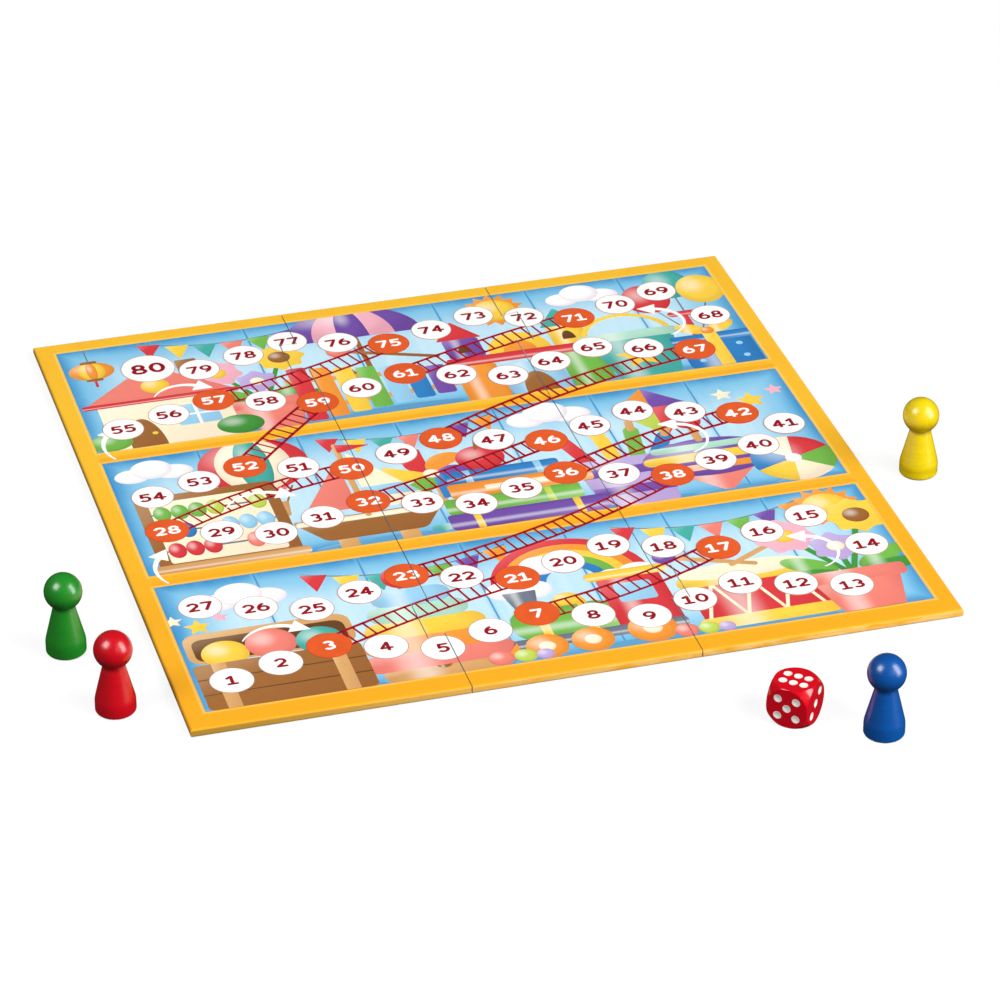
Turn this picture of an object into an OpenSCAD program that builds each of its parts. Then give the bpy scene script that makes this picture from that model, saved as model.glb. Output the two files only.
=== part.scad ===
// Three-panel snakes and ladders board with four turned pawns and a die.
// Each panel is a grey board core under a printed sheet that wraps its outer edges, with a liner
// on its underside. Dovetail tabs on the centre panel drop into notches in the two side panels.
// The origin is the middle of the board's underside. X runs along the front edge, Y to the back.

/* [Board] */
// Width of the joined board along its front edge
board_w = 225; // [180:1:300]
// Depth of the joined board from front to back
board_d = 225; // [180:1:300]
// Thickness of the grey board core
core_t = 2.1; // [1.6:0.1:3]
// Thickness of the printed sheet and of the liner
paper_t = 0.2; // [0.1:0.05:0.3]
// Radius of the board's long edges, measured on the wrapped sheet
edge_r = 0.7; // [0.5:0.1:0.9]
// How far the printed sheet is turned in under the board
turn_in = 10; // [5:0.5:15]
// Gap between the turned-in sheet and the liner
liner_gap = 0.3; // [0.1:0.1:1]

/* [Seams and tabs] */
// Width of the left panel, from the board's edge to the middle of the cut
left_panel_w = 79.8; // [65:0.1:85]
// Width of the right panel, from the board's edge to the middle of the cut
right_panel_w = 78; // [65:0.1:85]
// Gap between two panels along the cut
seam_gap = 0.3; // [0.1:0.05:0.6]
// How far a tab reaches past the cut
tab_reach = 5.2; // [3:0.1:8]
// Width of a tab where it leaves its panel
tab_neck_w = 16; // [12:0.1:18]
// Width of a tab at its outer end
tab_end_w = 18.6; // [18:0.1:24]
// Distance from the board's front edge to the middle of the front tabs
front_tab_y = 36.9; // [30:0.1:60]
// Distance from the board's back edge to the middle of the back tabs
back_tab_y = 28.8; // [20:0.1:60]

/* [Pawns] */
// Height of a pawn
pawn_h = 25; // [22:0.5:32]
// Diameter of a pawn's foot
pawn_foot_d = 11.5; // [10:0.1:14]
// Height of the steep part of the foot
pawn_foot_h = 3; // [2:0.1:4]
// Radius of the curve from the foot into the tapered body
pawn_foot_curve_r = 8; // [7.5:0.1:10]
// Radius of the foot's lower edge
pawn_foot_edge_r = 0.8; // [0.3:0.1:1.5]
// Diameter of the neck, where the head sits in the body
pawn_neck_d = 6.1; // [5:0.1:7]
// Diameter of the head
pawn_head_d = 10.9; // [9:0.1:12]

/* [Places beside the board] */
// Green pawn: distance out from the board's left edge
green_out = 23.9; // [12:0.1:60]
// Green pawn: distance back from the line of the front edge
green_along = 53.1; // [45:0.1:100]
// Red pawn: distance out from the board's left edge
red_out = 16.7; // [12:0.1:60]
// Red pawn: distance back from the line of the front edge
red_along = 19.7; // [0:0.1:25]
// Yellow pawn: distance out from the board's right edge
yellow_out = 16.2; // [12:0.1:60]
// Yellow pawn: distance back from the line of the front edge
yellow_along = 80.2; // [0:0.1:150]
// Blue pawn: distance out from the board's front edge
blue_out = 49.7; // [45:0.1:80]
// Blue pawn: distance right from the line of the left edge
blue_along = 182.8; // [180:0.1:200]
// Die: distance out from the board's front edge
die_out = 35.4; // [24:0.1:38]
// Die: distance right from the line of the left edge
die_along = 161.9; // [50:0.1:165]

/* [Die] */
// Edge of the die
die_a = 12.2; // [11:0.1:14]
// Diameter of the ball that rounds the die's corners
die_ball_d = 17.2; // [16.5:0.1:18]
// Turn of the die about its upright axis, in degrees
die_turn = -42; // [-60:1:-20]
// Diameter of a pip
pip_d = 2.4; // [1.5:0.1:2.8]
// Depth of a pip's hollow
pip_depth = 0.35; // [0.25:0.05:0.5]
// Thickness of the paint in the middle of a pip
pip_paint_t = 0.12; // [0.05:0.01:0.2]
// Offset of a corner pip from the middle of its face, both ways
pip_corner = 2.7; // [2.1:0.1:3]
// Spacing of the pips within a row of three
six_pitch = 3.1; // [2.9:0.1:3.3]
// Spacing of the two rows of three
six_row_gap = 3.6; // [3:0.1:5]

/* [Hidden] */
// Smoothness of round shapes
$fn = 96;
// How far a cut runs past what it cuts
overrun = 1;
// Steps in each curve of a pawn's outline
curve_steps = 8;

board_t = core_t + 2 * paper_t;
left_seam_x = left_panel_w - board_w / 2;
right_seam_x = board_w / 2 - right_panel_w;
front_tab_at = front_tab_y - board_d / 2;
back_tab_at = board_d / 2 - back_tab_y;
liner_w = board_w - 2 * turn_in;
liner_d = board_d - 2 * turn_in;

green_at = [-board_w / 2 - green_out, green_along - board_d / 2];
red_at = [-board_w / 2 - red_out, red_along - board_d / 2];
yellow_at = [board_w / 2 + yellow_out, yellow_along - board_d / 2];
blue_at = [blue_along - board_w / 2, -board_d / 2 - blue_out];
die_at = [die_along - board_w / 2, -board_d / 2 - die_out];

// Ball that cuts a pip's hollow, and its centre's height over the face
pip_ball_r = (pip_d * pip_d / 4 + pip_depth * pip_depth) / (2 * pip_depth);
pip_ball_up = pip_ball_r - pip_depth;
// Turn that brings the top of the die to each face, and the pips on that face
DIE_FACES = [
    [[0, 0, 0], 6],
    [[180, 0, 0], 1],
    [[90, 0, 0], 5],
    [[-90, 0, 0], 2],
    [[0, 90, 0], 3],
    [[0, -90, 0], 4],
];

// Section through the board, with both long edges rounded, from height low to height high
module edge_profile(width, low, high, radius) {
    translate([-width / 2, low + radius])
        square([width, high - low - 2 * radius]);
    translate([radius - width / 2, low])
        square([width - 2 * radius, high - low]);
    for (side = [-1, 1], z = [low + radius, high - radius])
        translate([side * (width / 2 - radius), z])
            circle(radius);
}

// Slab of the joined board, drawn in from the outer faces by inset, with mitred round edges
module slab(inset) {
    low = inset;
    high = board_t - inset;
    radius = edge_r - inset;
    intersection() {
        rotate([90, 0, 0])
            linear_extrude(board_d - 2 * inset, center = true)
                edge_profile(board_w - 2 * inset, low, high, radius);
        rotate([90, 0, 90])
            linear_extrude(board_w - 2 * inset, center = true)
                edge_profile(board_d - 2 * inset, low, high, radius);
    }
}

// Plate over the liner's place, let into the turned-in sheet
module liner_plate(grow, low, high) {
    translate([-liner_w / 2 - grow, -liner_d / 2 - grow, low])
        cube([liner_w + 2 * grow, liner_d + 2 * grow, high - low]);
}

// The cut on one side of the centre panel, from front to back, moved off its middle by grow.
// Side is -1 for the left seam and 1 for the right one, and the tabs point to that side.
function seam_line(side, grow) =
    let (x = (side < 0 ? left_seam_x : right_seam_x) + side * grow)
    let (x_end = x + side * tab_reach)
    concat(
        [[x, -board_d / 2 - overrun]],
        [
            for (y = [front_tab_at, back_tab_at])
                each [
                    [x, y - tab_neck_w / 2 - grow],
                    [x_end, y - tab_end_w / 2 - grow],
                    [x_end, y + tab_end_w / 2 + grow],
                    [x, y + tab_neck_w / 2 + grow],
                ]
        ],
        [[x, board_d / 2 + overrun]]
    );

function reversed(points) = [for (i = [len(points) - 1 : -1 : 0]) points[i]];

module centre_outline() {
    polygon(concat(seam_line(1, -seam_gap / 2), reversed(seam_line(-1, -seam_gap / 2))));
}

// Outline of the side panel on that side, past the board's outer edges
module side_outline(side) {
    x = side * (board_w / 2 + overrun);
    y = board_d / 2 + overrun;
    polygon(concat([[x, -y]], seam_line(side, seam_gap / 2), [[x, y]]));
}

// Keeps what lies over one panel's outline
module panel_cut(panel) {
    intersection() {
        children();
        translate([0, 0, -overrun])
            linear_extrude(board_t + 2 * overrun) {
                if (panel == "centre") centre_outline();
                if (panel == "left") side_outline(-1);
                if (panel == "right") side_outline(1);
            }
    }
}

// Grey board of one panel
module panel_core(panel) {
    color("#b3aa9c")
        panel_cut(panel)
            slab(paper_t);
}

// Printed sheet of one panel, over its top, round its outer edges and turned in below
module printed_sheet(panel) {
    color("#f8b42e")
        panel_cut(panel)
            difference() {
                slab(0);
                slab(paper_t);
                liner_plate(0, -overrun, board_t / 2);
            }
}

// Liner on one panel's underside, inside the turned-in sheet
module back_liner(panel) {
    color("#f2efe8")
        panel_cut(panel)
            liner_plate(-liner_gap, 0, paper_t);
}

// Arc of points round centre, from angle a0 to angle a1
function arc(centre, radius, a0, a1) = [
    for (i = [0 : curve_steps])
        let (a = a0 + (a1 - a0) * i / curve_steps)
            centre + radius * [cos(a), sin(a)]
];

// Turned pawn: rounded foot, tapered body and ball head, on the table at place
module pawn(place, paint) {
    foot_r = pawn_foot_d / 2;
    neck_r = pawn_neck_d / 2;
    head_r = pawn_head_d / 2;
    head_z = pawn_h - head_r;
    neck = [neck_r, head_z - sqrt(head_r * head_r - neck_r * neck_r)];
    // The body's side runs from the neck to where it touches the foot's curve
    curve_at = [foot_r - pawn_foot_curve_r, pawn_foot_h];
    to_neck = neck - curve_at;
    touch_a = atan2(to_neck[1], to_neck[0]) - acos(pawn_foot_curve_r / norm(to_neck));
    touch = curve_at + pawn_foot_curve_r * [cos(touch_a), sin(touch_a)];
    taper = (touch[0] - neck[0]) / (neck[1] - touch[1]);
    color(paint)
        translate([place[0], place[1], 0]) {
            rotate_extrude()
                polygon(concat(
                    [[0, 0]],
                    arc([foot_r - pawn_foot_edge_r, pawn_foot_edge_r], pawn_foot_edge_r, -90, 0),
                    arc(curve_at, pawn_foot_curve_r, 0, touch_a),
                    [[neck[0] - taper * (head_z - neck[1]), head_z], [0, head_z]]
                ));
            translate([0, 0, head_z])
                sphere(head_r);
        }
}

// Places of the pips on a face that shows count
function pip_places(count) =
    count == 6
        ? [for (x = [-1, 0, 1], y = [-1, 1]) [x * six_pitch, y * six_row_gap / 2]]
        : concat(
            count % 2 == 1 ? [[0, 0]] : [],
            count >= 2 ? [[-pip_corner, pip_corner], [pip_corner, -pip_corner]] : [],
            count >= 4 ? [[-pip_corner, -pip_corner], [pip_corner, pip_corner]] : []
        );

// Puts the children where the die lies, drawn about its centre
module at_die() {
    translate([die_at[0], die_at[1], die_a / 2])
        rotate([0, 0, die_turn])
            children();
}

// Puts the children at every pip, with the face at z = 0 and +Z out of the face
module at_pips() {
    for (face = DIE_FACES, place = pip_places(face[1]))
        rotate(face[0])
            translate([place[0], place[1], die_a / 2])
                children();
}

module die_body() {
    color("#d00a20")
        at_die()
            difference() {
                intersection() {
                    cube(die_a, center = true);
                    sphere(d = die_ball_d);
                }
                at_pips()
                    translate([0, 0, pip_ball_up])
                        sphere(pip_ball_r);
            }
}

// Dished spots of paint in the hollows, level with the faces at their rims
module die_pips() {
    color("#fbf6ee")
        at_die()
            at_pips()
                difference() {
                    intersection() {
                        translate([0, 0, pip_ball_up])
                            sphere(pip_ball_r);
                        translate([-pip_d, -pip_d, -die_a / 2])
                            cube([2 * pip_d, 2 * pip_d, die_a / 2]);
                    }
                    translate([0, 0, pip_ball_up + pip_paint_t])
                        sphere(pip_ball_r);
                }
}

panel_core("centre");  // centre_panel_core
printed_sheet("centre");  // centre_printed_sheet
back_liner("centre");  // centre_back_liner
panel_core("left");  // left_panel_core
printed_sheet("left");  // left_printed_sheet
back_liner("left");  // left_back_liner
panel_core("right");  // right_panel_core
printed_sheet("right");  // right_printed_sheet
back_liner("right");  // right_back_liner
pawn(green_at, "#268c24");  // pawn_green
pawn(red_at, "#cd0a1e");  // pawn_red
pawn(yellow_at, "#f0d000");  // pawn_yellow
pawn(blue_at, "#0050a0");  // pawn_blue
die_body();
die_pips();
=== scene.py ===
"""Dresses a snakes and ladders board: printed panels, four turned pawns and a die in a studio.

The board's own parts come from the CAD frame. The print is laid on its sheets as thin films of
ink, one shape over the next, and is cut along the same seams as the panels that carry it.
"""

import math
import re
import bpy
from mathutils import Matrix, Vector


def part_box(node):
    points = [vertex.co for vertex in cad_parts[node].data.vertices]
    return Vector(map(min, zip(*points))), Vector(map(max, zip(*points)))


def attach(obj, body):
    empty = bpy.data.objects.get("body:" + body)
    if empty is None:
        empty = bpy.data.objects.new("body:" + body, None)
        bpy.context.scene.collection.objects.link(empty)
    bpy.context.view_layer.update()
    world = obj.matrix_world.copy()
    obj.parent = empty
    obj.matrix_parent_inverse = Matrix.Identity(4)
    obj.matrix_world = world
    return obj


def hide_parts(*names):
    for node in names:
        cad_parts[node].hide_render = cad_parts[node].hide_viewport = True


bl_info = {
    "name": "Snakes and Ladders Board",
    "version": (1, 0, 0),
    "blender": (4, 5, 0),
    "location": "3D View > Sidebar > Board Game",
    "description": "Prints the board, turns its pawns, finishes its die and sets up the studio",
    "category": "Object",
}

from functools import partialmethod

import bmesh
import bpy
from bpy.props import FloatProperty, FloatVectorProperty, PointerProperty
from mathutils import Matrix, Vector

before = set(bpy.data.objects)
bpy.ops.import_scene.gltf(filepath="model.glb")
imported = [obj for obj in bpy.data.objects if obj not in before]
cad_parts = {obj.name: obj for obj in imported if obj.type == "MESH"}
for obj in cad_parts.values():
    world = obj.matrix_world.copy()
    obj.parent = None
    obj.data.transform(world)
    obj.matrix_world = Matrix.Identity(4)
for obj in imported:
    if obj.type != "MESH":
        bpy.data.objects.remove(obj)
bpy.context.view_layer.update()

MM = 0.001
PANELS = ("left", "centre", "right")
SHEET_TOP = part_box("centre_printed_sheet")[1].z
BOARD_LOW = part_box("left_printed_sheet")[0]
BOARD_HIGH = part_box("right_printed_sheet")[1]
LEFT_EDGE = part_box("left_printed_sheet")[1].x
RIGHT_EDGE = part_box("right_printed_sheet")[0].x

# Steps of the round shapes
OVAL_STEPS = 40
DISC_STEPS = 56
ARC_STEPS = 24
CORNER_STEPS = 4
TURN_STEPS = 96
FULL_TURN = 360
SHARP_ANGLE = math.radians(25)

# Distances under which points are one: in a flat shape in millimetres, and in metres
SHAPE_MERGE = 1e-5
PAWN_MERGE = 1e-6
CUT_MERGE = 1e-8

# Corners of a stroke and of a pot, as shares of their width
STROKE_CORNER = 0.48
POT_CORNER = 0.05

# The path of discs: discs of a lane, its shift to the left, and the step to the disc at its turn
LAST_NUMBER = 80
LANE_COUNT = 13
LANE_SHIFT = 0.0048
TURN_SHARE = 0.77

# Numerals, as shares of their height, with their width as a stretch
NUMERAL_WEIGHT = 0.2
NUMERAL_GAP = 0.1
NUMERAL_WIDTH = 1.12

# Arrows, as shares of the shaft's width
ARROW_TAIL = 0.25
ARROW_HEAD_W = 1.9
ARROW_HEAD_L = 3.4
ARROW_CORNER = 0.15

# Gloss and shine of the papers, and relief of the finishes in metres
PRINT_GLOSS = 0.55
LINER_GLOSS = 0.62
PAPER_SHINE = 0.1
PAPER_RELIEF = 0.000004
CORE_RELIEF = 0.00006
LACQUER_RELIEF = 0.00001
DIE_RELIEF = 0.000008

# The border's paint, in metres: how far below the board's top the edge shows the border alone,
# where the edge carries its rubbed wear and its painted shade, how its inner edge, its light line
# and the shade on the bars fade, and where its deeper colour begins across the board and where the
# edge's painted shade, darkest at the left end, has turned to painted light towards the right
EDGE_FROM = 0.0008
WEAR_AND_SHADE_FROM, WEAR_AND_SHADE_TO = 0.0001, 0.0006
INNER_EDGE = 0.00004
LINE_FROM, LINE_FULL_FROM, LINE_FULL_TO, LINE_TO = -0.0011, -0.0007, -0.0004, -0.0001
LINE_SHARE = 0.45
BAR_END, BAR_FRONT, BAR_MIDDLE = 0.0004, 0.0002, 0.0006
BAR_SHARE = 0.8
DEEP_FROM_Y = 0.06
PAINTED_LIGHT_TO_X = 0.03

# How strongly painted shapes are lit and shaded, and the colours that do it
GLOW_SHARE = 0.38
SHADE_SHARE = 0.62
WARM_WHITE = (1, 1, 0.97, 1)
SHADE_DYE = (0.72, 0.60, 0.66, 1)

# How much of its grain each pawn shows
PAWN_GRAIN = {"green": 0.3, "red": 0.3, "yellow": 0.5, "blue": 0.3}

# Lacquer over rings and grain, and painted shade under a pawn's head, about its neck: from below
# the neck to above it, in metres, with the share of the shade's colour there
GRAIN_DYE = (0.66, 0.6, 0.6, 1)
NECK_SHADE_DYE = (0.32, 0.26, 0.26, 1)
NECK_SHADE_LOW, NECK_SHADE_FROM, NECK_SHADE_TO, NECK_SHADE_HIGH = -0.0014, 0.0002, 0.0004, 0.005
NECK_SHADE_SHARE = 0.75

# The studio, in metres
FLOOR_HALF = 4.0
FLOOR_DROP = 0.0001
FLOOR_WHITE = 1.03
CONTACT_REACH = 0.01
LAMP_DISTANCE = 1.5

# Lamps: direction, width, height and whether reflections show them
LAMPS = {
    "left_lamp": ((-0.675, -0.216, 0.688), 0.75, 0.75, True),
    "right_lamp": ((0.713, -0.548, 0.441), 0.65, 1.5, True),
    "front_lamp": ((0.38, -0.8, 0.46), 0.9, 0.8, False),
    "back_lamp": ((-0.35, 0.8, 0.5), 1.2, 0.8, False),
}

# The camera's right, up and back, its place in board widths from the board's top, and its sensor
CAMERA_AXES = (
    (0.96138745, -0.27519756, -0.00068401),
    (0.14145181, 0.49201895, 0.85901614),
    (-0.2360626, -0.8259441, 0.51194804),
)
CAMERA_PLACE = (-1.40889, -5.04614, 3.07895)
SENSOR_W = 36.0


def tint(code):
    """Linear colour with full alpha of a six-digit hex code."""
    parts = [int(code[i : i + 2], 16) / 255 for i in (0, 2, 4)]
    return [p / 12.92 if p <= 0.04045 else ((p + 0.055) / 1.055) ** 2.4 for p in parts] + [1.0]


def deeper(paint):
    """A paint as it looks where it lies a little thicker."""
    return [c * 0.8 for c in paint[:3]] + [1.0]


def amount(name, description, default, **kind):
    """A number that the user can change."""
    return FloatProperty(name=name, description=description, default=default, **kind)


def length(name, description, default):
    """A length that the user can change."""
    return amount(name, description, default, unit="LENGTH", precision=5)


def colour(name, description, code):
    """A colour that the user can change."""
    return FloatVectorProperty(
        name=name, description=description, default=tint(code), size=4, subtype="COLOR"
    )


class PrintSettings(bpy.types.PropertyGroup):
    """Sizes and colours of the board's print."""

    border_left: length("Left border", "Width of the border along the left edge", 0.0060)
    border_right: length("Right border", "Width of the border along the right edge", 0.0059)
    border_front: length("Front border", "Width of the border along the front edge", 0.0078)
    border_back: length("Back border", "Width of the border along the back edge", 0.0064)
    lower_bar: length("Lower bar", "Middle of the lower bar, from the board's middle", -0.0345)
    upper_bar: length("Upper bar", "Middle of the upper bar, from the board's middle", 0.03875)
    bar_w: length("Bar width", "Width of the bars between the fields", 0.0065)
    plank_at: length("Plank joint", "Place of one plank joint, from the board's middle", 0.0150)
    plank_w: length("Plank width", "Distance between the painted plank joints", 0.0308)
    disc_d: length("Disc", "Diameter of a plain number disc", 0.0123)
    end_disc_d: length("Ladder disc", "Diameter of a disc at a ladder's end", 0.0126)
    last_disc_d: length("Last disc", "Diameter of the last disc", 0.0165)
    disc_step: length("Disc step", "Distance from disc to disc along a lane", 0.0152)
    lane_gap: length("Lane gap", "Distance between the two lanes of a field", 0.0300)
    lane_wave: length("Lane wave", "How far a lane swings to each side", 0.0050)
    rim_w: length("Disc rim", "Width of the dark line round a disc", 0.00022)
    numeral_h: length("Numeral height", "Height of the numerals on the discs", 0.0046)
    rail_gap: length("Ladder width", "Distance between a ladder's rails", 0.0070)
    rail_w: length("Rail width", "Width of a ladder's rails", 0.0009)
    rung_step: length("Rung step", "Distance between a ladder's rungs", 0.0035)
    rung_w: length("Rung width", "Width of a ladder's rungs", 0.0006)
    arrow_w: length("Arrow width", "Width of an arrow's shaft", 0.0017)
    film_t: length("Ink film", "Thickness of one film of ink", 0.00001)
    border: colour("Border", "Colour of the border and the bars", "F5BD34")
    border_deep: colour("Deep border", "Border colour along the front edge", "F1A823")
    border_line: colour("Border line", "Light line along the border's inner edge", "FCD478")
    # The edge colours: rubbed wear that is also painted light to the right, and painted shade at
    # the left end
    border_edge: colour("Border edge", "Border colour where it is rubbed at the edge", "F7C774")
    border_shade: colour("Border shade", "Edge colour where it is least rubbed", "BA8E36")
    field_edge: colour("Field edge", "Colour at the edges of a field", "3B8DC6")
    field_rim: colour("Field rim", "Colour a little way inside a field", "80C2E4")
    field_middle: colour("Field middle", "Colour in the middle of a field", "C6E6F4")
    plank_line: colour("Plank joint", "Colour of the painted plank joints", "4791C4")
    disc: colour("Disc", "Colour of a plain number disc", "FDFBF8")
    disc_rim: colour("Disc rim", "Colour of the line round a disc", "B98F86")
    end_disc: colour("Ladder disc", "Colour of a disc at a ladder's end", "E25C2A")
    end_rim: colour("Ladder disc rim", "Colour of the line round a ladder's disc", "D2491F")
    numeral: colour("Numerals", "Colour of the numerals on plain discs", "981222")
    ladder: colour("Ladders", "Colour of the ladders", "A31322")
    arrow: colour("Arrows", "Colour of the arrows", "FBFDFE")


class PanelSettings(bpy.types.PropertyGroup):
    """Sizes of the cuts between the panels, and colours of their grey board and liners."""

    gap: length("Seam gap", "Gap between two panels along the cut", 0.0003)
    reach: length("Tab reach", "How far a tab reaches past the cut", 0.0052)
    neck_w: length("Tab neck", "Width of a tab where it leaves its panel", 0.0160)
    end_w: length("Tab end", "Width of a tab at its outer end", 0.0186)
    front_tab: length("Front tabs", "Middle of the front tabs from the front edge", 0.0369)
    back_tab: length("Back tabs", "Middle of the back tabs from the back edge", 0.0288)
    core_dark: colour("Dark fibres", "Colour of the grey board's dark fibres", "8E877C")
    core_light: colour("Light fibres", "Colour of the grey board's light fibres", "BDB5A8")
    core_fleck: colour("Flecks", "Colour of the flecks in the grey board", "5F584F")
    liner: colour("Liner", "Colour of the back liners", "F4F1EA")
    liner_pulp: colour("Liner pulp", "Colour of the clouds of pulp in the liners", "E4DFD4")


class PawnSettings(bpy.types.PropertyGroup):
    """Sizes and colours of the turned pawns."""

    foot_h: length("Foot height", "Height of the steep part of the foot", 0.0030)
    foot_curve: length("Foot curve", "Radius of the curve from foot to body", 0.0080)
    foot_edge: length("Foot edge", "Radius of the foot's lower edge", 0.0008)
    neck_d: length("Neck", "Diameter where the head sits in the body", 0.0061)
    head_d: length("Head", "Diameter of the head", 0.0109)
    green: colour("Green", "Colour of the green pawn", "1D8721")
    red: colour("Red", "Colour of the red pawn", "CA0016")
    yellow: colour("Yellow", "Colour of the yellow pawn", "EBCE00")
    blue: colour("Blue", "Colour of the blue pawn", "004E9C")


class DieSettings(bpy.types.PropertyGroup):
    """Colours of the die."""

    body: colour("Die", "Colour of the die", "D6001A")
    pips: colour("Pips", "Colour of the painted pips", "FBF6EE")


class StageSettings(bpy.types.PropertyGroup):
    """The camera and the light."""

    lens: amount("Lens", "Focal length of the camera", 164.69, unit="CAMERA")
    left_lamp: amount("Left lamp", "Power of the small left lamp", 11.6, unit="POWER")
    right_lamp: amount("Right lamp", "Power of the tall right lamp", 18.0, unit="POWER")
    front_lamp: amount("Front lamp", "Power of the fill lamp in front", 14.0, unit="POWER")
    back_lamp: amount("Back lamp", "Power of the fill lamp behind", 5.0, unit="POWER")
    ambient: amount("Ambient", "Level of the light from all round", 0.14, min=0.0)
    mirrored: amount("Mirrored", "Level of the surroundings in reflections", 0.04, min=0.0)
    floor_glow: amount(
        "Floor glow", "Share of the floor's white that shadows leave alone", 0.8,
        subtype="FACTOR", min=0.0, max=1.0,
    )
    floor: colour("Floor", "Colour of the floor as the camera sees it", "FFFFFF")
    floor_bounce: colour("Floor bounce", "Colour that the floor casts on the pieces", "404040")
    floor_mirror: colour("Floor mirror", "Colour of the floor in reflections", "303030")


class BoardGameSettings(bpy.types.PropertyGroup):
    """All settings of the board and its pieces."""

    printing: PointerProperty(type=PrintSettings)
    panels: PointerProperty(type=PanelSettings)
    pawns: PointerProperty(type=PawnSettings)
    die: PointerProperty(type=DieSettings)
    stage: PointerProperty(type=StageSettings)


def settings():
    """This scene's settings of the board."""
    return bpy.context.scene.board_game


# Paints of the pictures
PAINTS = {
    "white": "FFFFFF", "cream": "FFF3D2", "yellow": "FBD24A", "orange": "F49B3C",
    "coral": "F08576", "red": "DA3F44", "pink": "F7B7C6", "purple": "7553A8",
    "lilac": "BFABDD", "blue": "3583C4", "sky": "9AD2EE", "teal": "48AFA4",
    "mint": "B2E2CB", "green": "76BB4F", "leaf": "46963F", "lime": "C2DA5C",
    "tan": "D9A66A", "brown": "9E6837", "dark": "6A4528", "slate": "717B88",
    "shade": "5E9FC8",
}

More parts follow.
